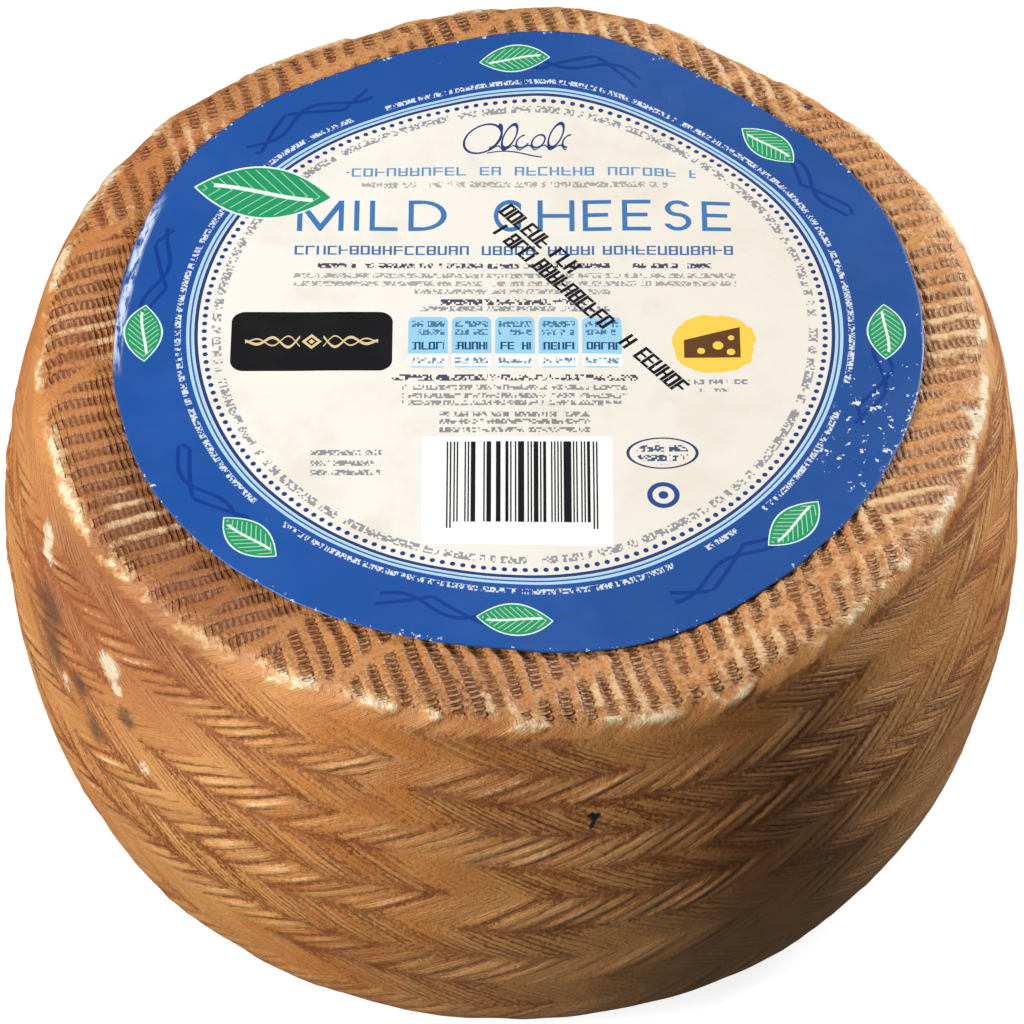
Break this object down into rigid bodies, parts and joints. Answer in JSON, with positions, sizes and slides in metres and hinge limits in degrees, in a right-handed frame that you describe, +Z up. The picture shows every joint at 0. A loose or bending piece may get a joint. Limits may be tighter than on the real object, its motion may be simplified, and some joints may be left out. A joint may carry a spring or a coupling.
{
  "type": "cheese wheel with a paper label",
  "caption": "Whole pressed cheese wheel with a plaited-band imprint on its rind and a round printed paper label on its upper face, resting on its flat base.",
  "frame": {"origin": "middle of the flat base that the wheel rests on", "axes": "+Z up through the wheel's middle to the labelled face, -Y towards the side from which the label reads upright, +X to the reader's right"},
  "size_m": [0.198, 0.198, 0.1021],
  "materials": {
    "rind": "waxy tan-orange rind with a pressed plait pattern, pale and worn on its high edges",
    "label_paper": "film-coated printed paper, blue border round a cream field, slightly creased"
  },
  "bodies": {
    "root": {"cheese_wheel": "rind", "paper_label": "label_paper"}
  },
  "joints": []
}
